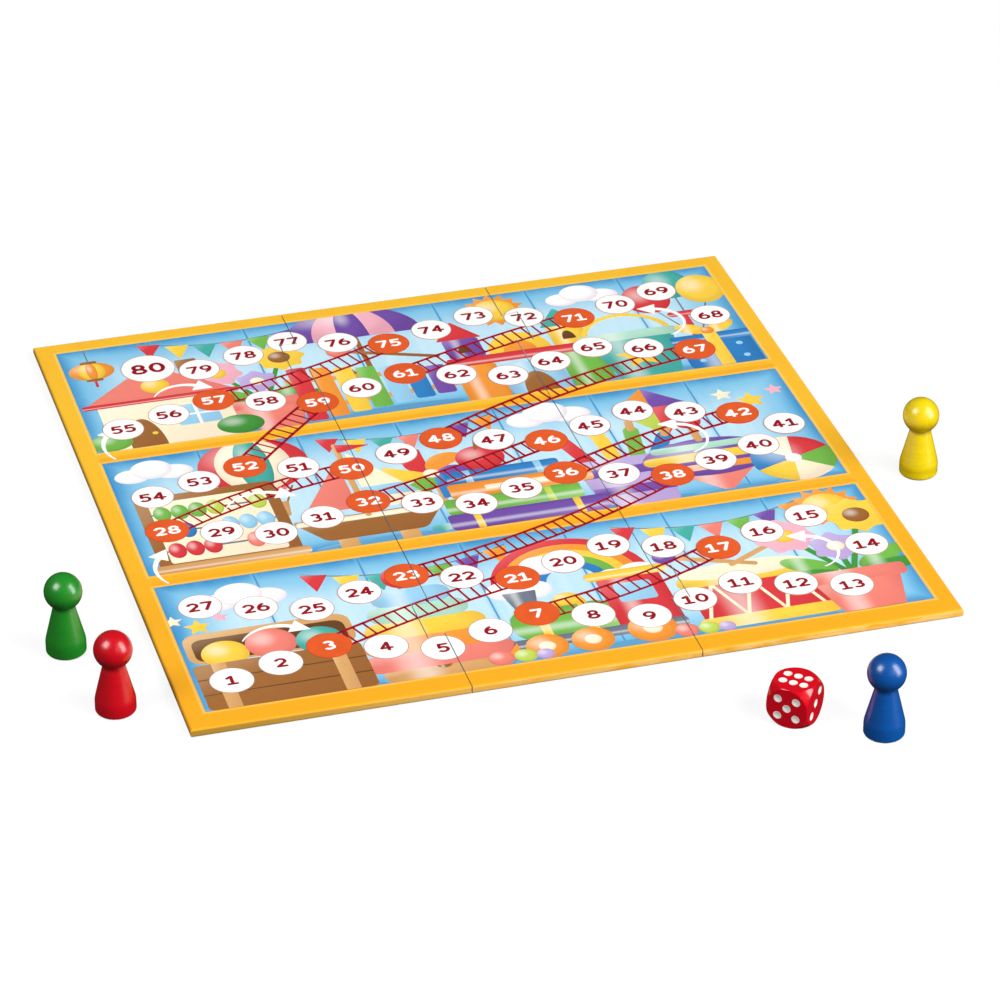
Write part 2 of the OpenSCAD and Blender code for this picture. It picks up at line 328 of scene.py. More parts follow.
# Pictures on the shelves, in millimetres from the middle of their foot. An entry has a kind of
# shape, its paint, its place and its sizes, and later shapes lie over earlier ones. Paints joined
# by | make as many shapes, and a number such as 8+7 then starts at 8 and grows by 7 each time.
PICTURES = {
    "ring_stacker": """
        spot shade 2 0.6 38 4; roll tan 0 2.5 30 5 2; roll brown 0 24 4 42 1.9;
        roll coral|orange|yellow 0 8+7 38-4 7.4 3.6; roll mint|sky 0 29+7 25-5 7.4 3.6;
        oval red 0 45 10 10""",
    "sail_boat": """
        spot shade 0 0.6 34 4; card tan|tan -8+16 2 5 5 1;
        panel brown 0 0 -20 15 20 15 13 4 -13 4 1.5; beam cream 0 13.4 38 2.4 1;
        stroke tan 0 14 0 36 1.6; panel cream 1.6 17 0 0 17 0 0 29 1;
        panel sky 1.6 22 0 0 14 0 10.8 5.5 0 5.5 0.2; panel coral -1.6 18 0 0 0 24 -14 0 1;
        panel red 0 46 0 0 9 2.2 0 4.4 0.4""",
    "castle": """
        spot shade 0 0.6 48 4; roll orange|green -16+32 10 13 20 1; roll sky 0 9 18 18 1;
        arch brown 0 0 10 12; beam red 0 22.6 46 5.2 1; roll purple|yellow -16+32 30.8 11 11.4 1;
        arch dark|dark -16+32 28 4 5; arch yellow|orange 0 25.2 19-9 11-5;
        panel red|teal -16+32 36.4 -7 0 7 0 0 11 0.8""",
    "drum": """
        spot shade 1 0.6 42 4; pot red 0 3 35 35 23; stroke cream|cream -16+5.3 6+17 5.3 17-34 1;
        stroke cream|cream -5.4+5.4 6+17 5.3 17-34 1; stroke cream|cream 5.3+5.4 6+17 5.3 17-34 1;
        roll yellow|yellow 0 4+21 39 5.4 2.4; spot cream 0 28.4 36 8; stroke tan -18 39 22 -9 1.8;
        oval purple -18.5 39.4 6.4 6.4; stroke tan 18 42 -20 -11 1.8;
        oval purple 18.5 42.4 6.4 6.4""",
    "flower_pot": """
        spot shade 1 0.5 22 3.4; stroke leaf 0 16 -11 22 1.5; stroke leaf 0 16 10 27 1.5;
        stroke leaf 0 16 0 14 1.5; leaf green|green -3+6 19 15 6.5 150-120;
        leaf leaf|leaf -2+4 17 16 5.5 172-164; star pink -11 38 9 7 0.7 1.9;
        oval yellow -11 38 6 6; star yellow 10 43 9 8 0.72 1.7; oval brown 10 43 7 7;
        star lilac 0 30 7.6 6 0.66 1.8; oval cream 0 30 4.6 4.6; pot coral 0 0 16 23 15;
        roll coral 0 16 27 5.4 1.6""",
    "books": """
        spot shade 0 0.6 48 4; beam purple 0 4 44 8 1.2; beam yellow|yellow -14+28 4 2 8 0.1;
        beam green -2 12 38 8 1.2; beam lime|lime -12+20 12 2 8 0.1; beam orange 2 19.7 40 7.4 1.2;
        beam cream 2 19.7 20 2.6 0.6; beam blue -1 26.6 32 6.4 1.2;
        beam sky|sky -11+20 26.6 2 6.4 0.1; oval red -5 35.6 13.6 12.6;
        stroke brown -5 40.4 1 4.4 1; leaf green -4.4 43 8 3.8 20""",
    "train": """
        spot shade 0 0.6 50 4; oval white|white -12+6 38+5 9+2 8+1; pot slate -15 22 5 9 10;
        beam green -7 16 28 14 5; beam yellow|yellow -13+12 16 2.4 14 0.4; dome yellow -4 22.6 9 6;
        roll red 14 20 17 25 1.5; card sky 14 24.5 10 9 1; beam yellow 14 33.6 22 4 1.8;
        beam slate 0 7.6 46 4.4 1.6; panel orange -22 2 0 0 0 7 -5 0 0.5;
        oval orange|cream -15 5.5 11-6.6 11-6.6; oval orange|cream -3 5.5 11-6.6 11-6.6;
        oval orange|cream 13 6.4 12.8-7.8 12.8-7.8""",
    "bucket": """
        spot shade 4 0.6 40 4; band yellow 0 26 14 1.8 8 172; pot teal 0 0 20 29 26;
        roll mint 0 26.6 33 5 2.2; star yellow 0 13 8 5 0.46 0.5; stroke red 21 8 0 26 2.6;
        beam red 21 35.6 10 3.2 1.5; panel red 21 0 -5 13 5 13 4.4 3 0 0 -4.4 3 1.2""",
    "spinning_top": """
        spot shade 2 0.6 24 3.4; pot coral 0 1 3 28 14; oval purple 0 20 40 21;
        roll yellow 0 20.6 39.4 4.6 2.2; roll mint 0 26.2 32 3.4 1.6;
        roll orange 0 14.6 33 3.4 1.6; stroke tan 0 30 0 10 2.4; oval red 0 41 8 8""",
    "gift": """
        spot shade 1 0.6 37 4; roll blue 0 12 33 24 1.2; spot sky|sky -10+20 6+11 3 3;
        spot sky|sky -10+20 17-11 3 3; beam blue 0 25.6 37 7 1.2; card yellow 0 14.6 6.4 29 0.3;
        leaf yellow|yellow 0 30.6 15 8 150-120; oval orange 0 31.6 6 6""",
    "beach_ball": """
        spot shade 2 1 30 5; slice red|cream|blue|yellow|cream|green 0 18 18 20+60 80+60;
        oval white 0 18 7 7""",
    "pencil_cup": """
        spot shade 1 0.6 28 3.6; stroke red -6 18 -6 20 4.4; stroke tan -12.2 39 -1 3.6 2.4;
        stroke yellow 0 18 -2 24 4.4; stroke tan -2.2 43 -0.3 3.8 2.4; stroke green 5 18 3 20 4.4;
        stroke tan 8.2 39 0.5 3.6 2.4; stroke blue 8 18 8 15 4.4; stroke tan 16.4 33.8 1.6 3.2 2.4;
        pot lilac 0 0 21 26 25; roll purple|purple 0 18-10 24.6-2 4.4 0.4""",
    "toy_chest": """
        spot shade 0 0.6 50 4; card tan 0 30 46 15 4; card dark 0 29 42 11 3;
        oval yellow -13 26 13 13; oval coral 0 28 14 14; oval teal 13 26 13 13;
        card brown 0 11 46 22 1.5; card dark|dark 0 7.4+7.4 46 0.5 0.1;
        card tan|tan -16+32 11 4 22 0.4; card yellow 0 18.6 7 7 1.6; spot dark 0 18.6 2 3""",
    "pinwheel": """
        roll teal 0 2.5 16 5 1.6; stroke tan 0 4 0 30 1.9;
        vane red|yellow|green|blue|purple|orange 0 34 15 7 90+60; oval cream 0 34 5 5""",
    "xylophone": """
        spot shade 0 1.4 46 4; stroke tan -23 8 46 3 2.6; stroke tan -23 25 46 -5 2.6;
        card red|orange|yellow|green|sky|blue|purple -19.5+6.5 16.5-0.3 5.6 31-2.4 1;
        stroke brown -4 38 26 -10 1.6; oval coral -5 38.4 7 7""",
    "abacus": """
        spot shade 0 0.6 44 4; card brown 0 21 40 40 2.4; card cream 0 21 33 33 1;
        beam tan 0 2 44 4 1.6; stroke slate|slate|slate -17 11+10 34 0 0.8;
        oval red|red|red -13.6+5 11 5 8; oval coral|coral 8.6+5 11 5 8;
        oval blue|blue -13.6+5 21 5 8; oval sky|sky|sky 3.6+5 21 5 8;
        oval green|green|green -13.6+5 31 5 8; oval lime|lime 1.4+12.2 31 5 8""",
    "house": """
        spot shade 0 0.6 46 4; card brown 11 38 6 13 0.5; card cream 0 13 36 26 0.6;
        panel coral 0 24 -22 0 22 0 0 20 1.2; beam red 0 24.4 44 2.4 1; arch brown -8 0 10 15;
        spot yellow -5.4 6.5 1.6 1.6; card sky 8 14 12 11 0.8; stroke white 8 8.5 0 11 0.9;
        stroke white 2 14 12 0 0.9; oval yellow 0 32 8 8; oval green -18 4.4 12 9;
        oval leaf 18 5 13 10""",
    "kite": """
        stroke slate 0 0 -5 -9 0.5; stroke slate -5 -9 6 -8 0.5; leaf coral|coral -5 -9 6 3 40+160;
        leaf teal|teal 1 -17 6 3 330-180; panel orange 0 0 0 18 0 30 -12 18 0.3;
        panel purple 0 0 0 18 12 18 0 30 0.3; panel lime 0 0 0 18 -12 18 0 0 0.3;
        panel red 0 0 0 18 0 0 12 18 0.3""",
    "balloons": """
        stroke slate 0 0 -8 20 0.5; stroke slate 0 0 8 22 0.5; stroke slate 0 0 0 26 0.5;
        oval teal 0 34 14 17; oval red -8.6 27 14 17; oval yellow 8.6 29 14 17""",
    "lantern": """
        stroke slate 0 20 0 14 0.6; oval orange 0 11 22 17; oval yellow|orange 0 11 13-8 17;
        card brown|brown 0 19.6-17.2 8 2.4 0.6; stroke red 0 1 0 -5 1.4""",
    "air_balloon": """
        stroke brown|brown -4+8 6 -4+8 10 0.6; pot tan 0 0 8 10 8; pot coral 0 12 8 20 8;
        oval red 0 30 32 30; oval cream|teal 0 30 22-12 30""",
    "rainbow": """
        band red|orange|yellow|green|blue 0 4 20-2.9 3 0 180; oval white|white -18+7 4-1 11-1 9-1;
        oval white|white 18-7 4-1 11-1 9-1""",
    "umbrella": """
        stroke brown 0 2 0 24 1.6; band brown -3 2 3 1.6 180 360; dome purple 0 20 40 18;
        dome pink|purple 0 20 24-15 18; stroke brown 0 37 0 3 1.4""",
    "sun": "star orange 0 0 13 14 0.74 0.6; oval yellow 0 0 17 17",
    "cloud": "oval white -7 3 12 9; oval white 7 3 13 9; oval white 0 6 14 12",
    "stars": """
        star yellow 0 0 4.6 5 0.46 0.4; star pink 8 4 3 5 0.46 0.3;
        star cream -7 5 3.4 5 0.46 0.3""",
    "bunting": """
        band slate 0 75.4 75.4 0.5 246 294; panel red -27 5 -4 0.6 4 -0.6 -1 -9 0.4;
        panel yellow -18 2.2 -4 0.5 4 -0.5 -0.6 -9 0.4;
        panel teal -9 0.5 -4 0.2 4 -0.2 -0.3 -9 0.4; panel coral 0 0 -4 0 4 0 0 -9 0.4;
        panel green 9 0.5 -4 -0.2 4 0.2 0.3 -9 0.4; panel purple 18 2.2 -4 -0.5 4 0.5 0.6 -9 0.4;
        panel orange 27 5 -4 -0.6 4 0.6 1 -9 0.4""",
    "balls": "oval coral -6 4.5 9 9; oval lime 2.6 4 8 8; oval lilac 9.6 3.2 6.4 6.4",
}

# Where the pictures go in the front, the middle and the back field: picture, place across the
# board, height over the field's floor and scale
FIELDS = (
    """bunting -34 56 1; bunting 58 57 0.95; rainbow 10 33 1.1; cloud -84 51 1; stars -99 43 0.9;
    sun 94 57 0.85; ring_stacker -37 0 1.18; toy_chest -81 0 1.05; drum 59 0 1.08;
    train 10 0 1.12; flower_pot 89 0 1.16; balls -16 0 0.8; balls 38 0 0.75""",
    """air_balloon -63 22 1.05; bunting -14 58 0.9; kite 62 36 1; cloud -93 54 0.9; cloud 30 54 1;
    stars 93 50 1.1; pinwheel -13 0 1; abacus -81 0 1.06; sail_boat -37 0 1.16;
    pencil_cup 43 0 1.1; books 9 0 1.1; spinning_top 70 0 1.04; beach_ball 94 0 0.72""",
    """bunting -52 57 0.95; umbrella -14 27 1.1; balloons 91 18 1.1; cloud 62 52 0.9;
    sun 33 54 0.8; lantern -98 43 0.65; flower_pot -50 0 1; house -81 0 1.12; castle 34 0 1.06;
    xylophone -16 0 1.08; bucket 69 0 1; gift 94 0 0.72""",
)

# Ladders: lower number, higher number and how far the ladder bows to its left, in millimetres
LADDERS = (
    (3, 21, 1.5), (7, 17, -2.5), (23, 38, -4), (28, 50, 3), (32, 46, -1),
    (36, 42, 2), (48, 67, 4), (52, 59, 0.5), (57, 75, -2.5), (61, 71, 1),
)

# Arrows: place, radius, start and end of the sweep in degrees
ARROWS = (
    (-92, -29.5, 12, 215, 145), (-92, 44, 12, 215, 145), (80, -71, 9, -75, 75),
    (80, 74, 9, -75, 75), (64, 2, 9, -75, 75), (-79, -78, 11, 150, 60),
    (-66, -6, 12, 150, 60), (-74, 66, 10, 150, 60),
)

# Strokes of the digits, one unit tall: a bow has its middle, its half width and half height and
# its sweep in degrees, and a line has its start, its run and its rise
DIGITS = {
    "0": "bow 0.36 0.5 0.27 0.4 0 360",
    "1": "line 0.34 0.1 0 0.8; line 0.34 0.9 -0.22 -0.15; line 0.11 0.1 0.46 0",
    "2": "bow 0.34 0.655 0.25 0.245 170 -28; line 0.56 0.54 -0.43 -0.44; line 0.13 0.1 0.46 0",
    "3": "bow 0.31 0.69 0.21 0.21 155 -90; bow 0.31 0.305 0.25 0.205 90 -150",
    "4": "line 0.46 0.9 -0.36 -0.58; line 0.1 0.32 0.57 0; line 0.48 0.1 0 0.8",
    "5": "line 0.17 0.9 0.4 0; line 0.17 0.9 -0.02 -0.36; bow 0.32 0.35 0.27 0.25 125 -150",
    "6": "bow 0.36 0.34 0.26 0.24 0 360; bow 0.57 0.4 0.47 0.5 185 105",
    "7": "line 0.1 0.9 0.5 0; line 0.6 0.9 -0.33 -0.8",
    "8": "bow 0.34 0.7 0.21 0.2 0 360; bow 0.34 0.3 0.26 0.2 0 360",
    "9": "bow 0.34 0.66 0.26 0.24 0 360; bow 0.13 0.6 0.47 0.5 5 -75",
}

NUMBER = re.compile(r"(-?[\d.]+)([+-][\d.]+)?")


def entries(text):
    """Entries of a table as lists of words."""
    return [entry.split() for entry in text.split(";")]


def numbers(words, order=0):
    """Numbers of an entry, each grown by its step as many times as order says."""
    pairs = [NUMBER.fullmatch(word).groups("0") for word in words]
    return [float(start) + order * float(step) for start, step in pairs]


def shapes_of(picture):
    """Kind, paint and numbers of a picture's shapes, in their order."""
    for kind, paints, *words in entries(PICTURES[picture]):
        for order, paint in enumerate(paints.split("|")):
            yield kind, paint, numbers(words, order)


# Flat shapes, in millimetres, about their own origin


def moved(bm, *shift):
    """Shifts a shape."""
    bmesh.ops.translate(bm, vec=shift, verts=bm.verts)
    return bm


def turned(bm, angle, out=0.0):
    """Shifts a shape out along X, then turns it about its origin by an angle in degrees."""
    turn = Matrix.Rotation(math.radians(angle), 3, "Z")
    bmesh.ops.rotate(moved(bm, out, 0, 0), cent=(0, 0, 0), matrix=turn, verts=bm.verts)
    return bm


def scaled(bm, wide, tall):
    """Stretches a shape."""
    bmesh.ops.scale(bm, vec=(wide, tall, 1), verts=bm.verts)
    return bm


def round_corners(bm, corner):
    """Rounds every corner of a flat shape."""
    if corner:
        bmesh.ops.bevel(
            bm, geom=bm.verts[:], offset=corner, affect="VERTICES", segments=CORNER_STEPS,
            profile=0.5, material=-1, clamp_overlap=True,
        )
    return bm


def oval(width, height, steps=OVAL_STEPS):
    """An ellipse."""
    bm = bmesh.new()
    bmesh.ops.create_circle(bm, cap_ends=True, radius=0.5, segments=steps)
    return scaled(bm, width, height)


def card(width, height, corner):
    """A rectangle with round corners."""
    bm = bmesh.new()
    bmesh.ops.create_grid(bm, x_segments=1, y_segments=1, size=0.5)
    return round_corners(scaled(bm, width, height), corner)


def panel(*sizes):
    """A polygon from the places of its corners and their radius."""
    *places, corner = sizes
    bm = bmesh.new()
    bm.faces.new([bm.verts.new((x, y, 0)) for x, y in zip(places[::2], places[1::2])])
    return round_corners(bm, corner)


def pot(low_w, top_w, height):
    """A tapered pot that stands on its origin."""
    low, top = low_w / 2, top_w / 2
    return panel(-low, 0, low, 0, top, height, -top, height, low_w * POT_CORNER)


def dome(width, height):
    """Half an ellipse that stands on its origin."""
    bm = oval(width, 2 * height)
    bmesh.ops.bisect_plane(
        bm, geom=bm.verts[:] + bm.edges[:] + bm.faces[:], plane_co=(0, 0, 0),
        plane_no=(0, 1, 0), clear_inner=True,
    )
    return bm


def sweep(near, far, start, end):
    """The area that a radial line sweeps between two angles in degrees."""
    bm = bmesh.new()
    ends = [bm.verts.new((near, 0, 0)), bm.verts.new((far, 0, 0))]
    line = bm.edges.new(ends)
    bmesh.ops.spin(
        bm, geom=ends + [line], cent=(0, 0, 0), axis=(0, 0, 1), angle=math.radians(end - start),
        steps=ARC_STEPS, use_merge=abs(end - start) == FULL_TURN,
    )
    bmesh.ops.remove_doubles(bm, verts=bm.verts, dist=SHAPE_MERGE)
    return turned(bm, start)


def band(radius, width, start, end):
    """A bent strip."""
    return sweep(radius - width / 2, radius + width / 2, start, end)


def wedge(radius, start, end):
    """A slice of a disc."""
    return sweep(0, radius, start, end)


def star(radius, points, share, corner):
    """A star or a flower, whose inner corners lie at a share of its radius."""
    bm = bmesh.new()
    bmesh.ops.create_circle(bm, cap_ends=True, radius=radius, segments=2 * int(points))
    bmesh.ops.scale(bm, vec=(share, share, 1), verts=bm.verts[:][1::2])
    return round_corners(bm, corner)


def stroke(run, rise, width):
    """A line with round ends, from the origin over run and rise."""
    far = math.hypot(run, rise)
    bar = card(far + width, width, width * STROKE_CORNER)
    return turned(bar, math.degrees(math.atan2(rise, run)), far / 2)


def leaf(far, width, angle):
    """A leaf or a ribbon's loop that points away from the origin."""
    return turned(oval(far, width), angle, far / 2)


def vane(far, width, angle):
    """One sail of a pinwheel, with its straight side from the origin."""
    return turned(dome(far, width), angle, far / 2)


# Maker of each kind of shape, and how it is shaded: as a ball, a tube, a lying beam or flat
SHAPES = {
    "oval": (oval, "ball"), "spot": (oval, "flat"), "card": (card, "flat"), "roll": (card, "tube"),
    "beam": (card, "beam"), "pot": (pot, "tube"), "dome": (dome, "ball"), "arch": (dome, "flat"),
    "band": (band, "flat"), "slice": (wedge, "ball"), "star": (star, "flat"),
    "stroke": (stroke, "flat"), "panel": (panel, "flat"), "leaf": (leaf, "tube"),
    "vane": (vane, "flat"),
}

# Material slot of each way of shading
INK_SLOTS = {"ball": 0, "tube": 1, "beam": 1, "flat": 2}


def extent(bm):
    """Lowest and highest corner of a bmesh."""
    places = [v.co for v in bm.verts]
    return [Vector([pick(p[i] for p in places) for i in range(3)]) for pick in (min, max)]


def join(bm, other):
    """Moves another bmesh into this one."""
    mesh = bpy.data.meshes.new("joined")
    other.to_mesh(mesh)
    other.free()
    bm.from_mesh(mesh)
    bpy.data.meshes.remove(mesh)
    return bm


# Seams


def cut_faces(bm, faces, point, normal, clear=False):
    """Cuts faces along a plane, and clears what lies behind it when asked to."""
    geom = dict.fromkeys(faces)
    for face in faces:
        geom.update(dict.fromkeys([*face.edges, *face.verts]))
    bmesh.ops.bisect_plane(
        bm, geom=list(geom), dist=CUT_MERGE, plane_co=point, plane_no=normal, clear_inner=clear
    )


def trim(bm, low, high):
    """Trims a flat shape to a rectangle."""
    for corner, way in ((low, 1), (high, -1)):
        for normal in ((way, 0, 0), (0, way, 0)):
            cut_faces(bm, bm.faces[:], corner, normal, True)


def seam_places():
    """Place across the board of the left and the right seam, by their side."""
    half_gap = settings().panels.gap / 2
    return {-1: LEFT_EDGE + half_gap, 1: RIGHT_EDGE - half_gap}


def tab_places():
    """Middles of the front and the back tabs along the seams."""
    seams = settings().panels
    return BOARD_LOW.y + seams.front_tab, BOARD_HIGH.y - seams.back_tab


def tab_half_width(out, grow):
    """Half the width of a tab, or of its notch, at a distance out from the seam."""
    seams = settings().panels
    share = (out - grow) / seams.reach
    return (seams.neck_w + (seams.end_w - seams.neck_w) * share) / 2 + grow


def inside_cut(point, side, seam_x, grow):
    """Whether a point lies on the centre panel's side of the cut, moved out by grow."""
    out = (point.x - seam_x) * side
    if out < grow:
        return True
    on_tab = any(abs(point.y - tab) < tab_half_width(out, grow) for tab in tab_places())
    return on_tab and out < grow + settings().panels.reach


def panel_at(point):
    """Panel under a point, or None over a seam's gap."""
    half_gap = settings().panels.gap / 2
    for side, seam_x in seam_places().items():
        if not inside_cut(point, side, seam_x, half_gap):
            return "left" if side < 0 else "right"
        if not inside_cut(point, side, seam_x, -half_gap):
            return None
    return "centre"


def on_strip(face, near, far, front, back):
    """Whether a face lies between near and far across the board and reaches front to back."""
    ys = [v.co.y for v in face.verts]
    return near < face.calc_center_median().x < far and min(ys) < back and max(ys) > front


def cut_at_seams(bm, low, high):
    """Cuts a shape along both sides of the seams that it meets, and round their tabs."""
    seams = settings().panels
    tabs = [(tab, tab - seams.end_w, tab + seams.end_w) for tab in tab_places()]
    for side, seam_x in seam_places().items():
        near, far = sorted((seam_x - side * seams.gap, seam_x + side * (seams.reach + seams.gap)))
        if high.x < near or low.x > far:
            continue
        bmesh.ops.triangulate(bm, faces=bm.faces)
        for grow in (-seams.gap / 2, seams.gap / 2):
            end = grow + seams.reach
            for out in (grow, end):
                cut_faces(bm, bm.faces[:], (seam_x + side * out, 0, 0), (1, 0, 0))
            for tab, front, back in tabs:
                for edge in (-1, 1):
                    neck, tip = (
                        Vector((seam_x + side * out, tab + edge * tab_half_width(out, grow), 0))
                        for out in (grow, end)
                    )
                    flank = tip - neck
                    faces = [f for f in bm.faces if on_strip(f, near, far, front, back)]
                    cut_faces(bm, faces, neck, (-flank.y, flank.x, 0))


# Ink films


class Films:
    """Films of ink on the board, each on the lowest level that is clear of what it lies over."""

    def __init__(self):
        self.laid = []

    def lay(self, layer, shape, place, paint, slot=0, span=None, lying=False, field=None):
        """Puts a flat shape on the board at place, over everything that it meets there."""
        across = shape.loops.layers.uv.new("span")
        ink = shape.loops.layers.float_color.new("ink")
        paint = tuple(paint)
        low, high = span or extent(shape)
        size = high - low
        shape.normal_update()
        for face in shape.faces:
            face.material_index = slot
            if face.normal.z < 0:
                face.normal_flip()
            for loop in face.loops:
                u = (loop.vert.co.x - low.x) / size.x
                v = (loop.vert.co.y - low.y) / size.y
                loop[across].uv = (v, u) if lying else (u, v)
                loop[ink] = paint
        bmesh.ops.transform(shape, matrix=place, verts=shape.verts)
        if field:
            trim(shape, *field)
        if not shape.faces:
            shape.free()
            return
        low, high = extent(shape)
        under = [
            level
            for a, b, level in self.laid
            if a.x < high.x and low.x < b.x and a.y < high.y and low.y < b.y
        ]
        level = 1 + max(under, default=0)
        self.laid.append((low, high, level))
        moved(shape, 0, 0, SHEET_TOP + level * settings().printing.film_t)
        cut_at_seams(shape, low, high)
        carriers = [panel_at(face.calc_center_median()) for face in shape.faces]
        for part in set(carriers) - {None}:
            share = shape.copy()
            others = [f for f, carrier in zip(share.faces, carriers) if carrier != part]
            bmesh.ops.delete(share, geom=others, context="FACES")
            join(layer[part], share)
        shape.free()


FILMS = Films()


def new_layer():
    """An empty layer of films: a bmesh for each panel, with the shapes' own span and paint."""
    layer = {part: bmesh.new() for part in PANELS}
    for bm in layer.values():
        bm.loops.layers.uv.new("span")
        bm.loops.layers.float_color.new("ink")
    return layer


def at(x, y, scale=1.0, angle=0.0):
    """Matrix that puts a shape drawn in millimetres at a place in metres."""
    return (
        Matrix.Translation((x, y, 0))
        @ Matrix.Rotation(angle, 4, "Z")
        @ Matrix.Diagonal((scale * MM, scale * MM, 1, 1))
    )


def close_films(bm):
    """Gives every flat film its underside on the sheet and its edges."""
    made = bmesh.ops.extrude_face_region(bm, geom=bm.faces[:], use_keep_orig=True)["geom"]
    for item in made:
        if isinstance(item, bmesh.types.BMVert):
            item.co.z = SHEET_TOP
    bmesh.ops.recalc_face_normals(bm, faces=bm.faces)


def set_down(layer, name, materials):
    """Makes a piece of a layer's films for each panel that carries them."""
    for part, films in layer.items():
        close_films(films)
        piece = new_piece(f"{part}_{name}", films, materials)
        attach(piece, f"{part}_panel")


def new_piece(name, bm, materials, smooth=False):
    """A finished object at the origin from a bmesh."""
    mesh = bpy.data.meshes.new(name)
    for face in bm.faces:
        face.smooth = smooth
    for edge in bm.edges:
        edge.smooth = edge.calc_face_angle(0) < SHARP_ANGLE
    bm.to_mesh(mesh)
    bm.free()
    for material in materials:
        mesh.materials.append(material)
    piece = bpy.data.objects.new(name, mesh)
    bpy.context.scene.collection.objects.link(piece)
    return piece


def paint_node(name, material):
    """Puts a material on every slot of a CAD node."""
    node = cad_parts[name]
    if not node.material_slots:
        node.data.materials.append(material)
    for slot in node.material_slots:
        slot.material = material


# Node trees


class Graph:
    """Adds nodes to a node tree, each with its inputs set or linked."""

    def __init__(self, tree):
        self.tree = tree

    def feed(self, socket, value):
        """Links a socket to another node's output, or sets a plain value on it."""
        if isinstance(value, bpy.types.NodeSocket):
            self.tree.links.new(value, socket)
        else:
            socket.default_value = value

    def add(self, kind, inputs=None, **options):
        """A new node, with its options set before its inputs."""
        node = self.tree.nodes.new(kind)
        for key, value in options.items():
            setattr(node, key, value)
        for key, value in (inputs or {}).items():
            self.feed(node.inputs[key], value)
        return node

    def group(self, tree, **inputs):
        """Outputs of a node group that is placed in this tree."""
        return self.add("ShaderNodeGroup", inputs, node_tree=tree).outputs

    def math(self, operation, *values):
        """Result of one Math node."""
        node = self.add("ShaderNodeMath", dict(enumerate(values)), operation=operation)
        return node.outputs[0]

    def chain(self, operation, first, *others):
        """Result of one Math node after another."""
        for value in others:
            first = self.math(operation, first, value)
        return first

    plus = partialmethod(chain, "ADD")
    minus = partialmethod(chain, "SUBTRACT")
    times = partialmethod(chain, "MULTIPLY")
    least = partialmethod(chain, "MINIMUM")
    most = partialmethod(chain, "MAXIMUM")

    def mix(self, factor, a, b, blend="MIX"):
        """Colour between a and b."""
        node = self.add(
            "ShaderNodeMix", {0: factor, 6: a, 7: b}, data_type="RGBA", blend_type=blend
        )
        return node.outputs[2]

    def dye(self, paint, dye):
        """A paint's colour through a layer of dye."""
        return self.mix(1.0, paint, dye, "MULTIPLY")

    def coats(self, ground, *coats):
        """A ground colour under coats, each with its mask and its colour."""
        for mask, paint in coats:
            ground = self.mix(mask, ground, paint)
        return ground

    def rise(self, value, low, high, top=1.0):
        """Smooth rise from 0 at low to top at high."""
        return self.add(
            "ShaderNodeMapRange",
            {"Value": value, "From Min": low, "From Max": high, "To Min": 0.0, "To Max": top},
            interpolation_type="SMOOTHSTEP",
        ).outputs[0]

    def place(self):
        """Object coordinates."""
        return self.add("ShaderNodeTexCoord").outputs["Object"]

    def split(self, vector):
        """The three parts of a vector."""
        return self.add("ShaderNodeSeparateXYZ", {0: vector}).outputs

    def noise(self, scale, detail=2.0, stretch=None):
        """Noise on Object coordinates, which stretch scales along each axis."""
        where = self.place()
        if stretch:
            where = self.add("ShaderNodeMapping", {"Vector": where, "Scale": stretch}).outputs[0]
        return self.add(
            "ShaderNodeTexNoise", {"Vector": where, "Scale": scale, "Detail": detail}
        ).outputs[0]


class Finish(Graph):
    """A material in the making: its nodes and its shader."""

    def __init__(self, name, **inputs):
        self.material = bpy.data.materials.new(name)
        self.material.use_nodes = True
        super().__init__(self.material.node_tree)
        self.shader = self.tree.nodes["Principled BSDF"]
        self.set(**inputs)

    def set(self, **inputs):
        """Sets or links the shader's inputs."""
        for label, value in inputs.items():
            self.feed(self.shader.inputs[label.replace("_", " ")], value)

    def grain(self, height, relief):
        """Lets a height raise the surface by a relief in metres."""
        bump = self.add("ShaderNodeBump", {"Height": height, "Strength": 1.0, "Distance": relief})
        self.set(Normal=bump.outputs[0])


def node_group(inputs, outputs):
    """Makes a node group of a function that gives its results, the first time it is asked for."""

    def wrap(results):
        name = results.__name__

        def get():
            if name in bpy.data.node_groups:
                return bpy.data.node_groups[name]
            tree = bpy.data.node_groups.new(name, "ShaderNodeTree")
            for sockets, way in ((inputs, "INPUT"), (outputs, "OUTPUT")):
                for label, kind in sockets.items():
                    tree.interface.new_socket(label, in_out=way, socket_type=f"NodeSocket{kind}")
            graph = Graph(tree)
            graph.add("NodeGroupOutput", results(graph, graph.add("NodeGroupInput").outputs))
            return tree

        return get

    return wrap


@node_group({"Gloss": "Float"}, {"Roughness": "Float", "Height": "Float"})
def coated_paper(graph, start):
    """Uneven gloss and faint tooth of coated paper."""
    uneven = graph.math("MULTIPLY_ADD", graph.noise(700.0), 0.12, -0.06)
    return {"Roughness": graph.plus(start["Gloss"], uneven), "Height": graph.noise(5200.0)}


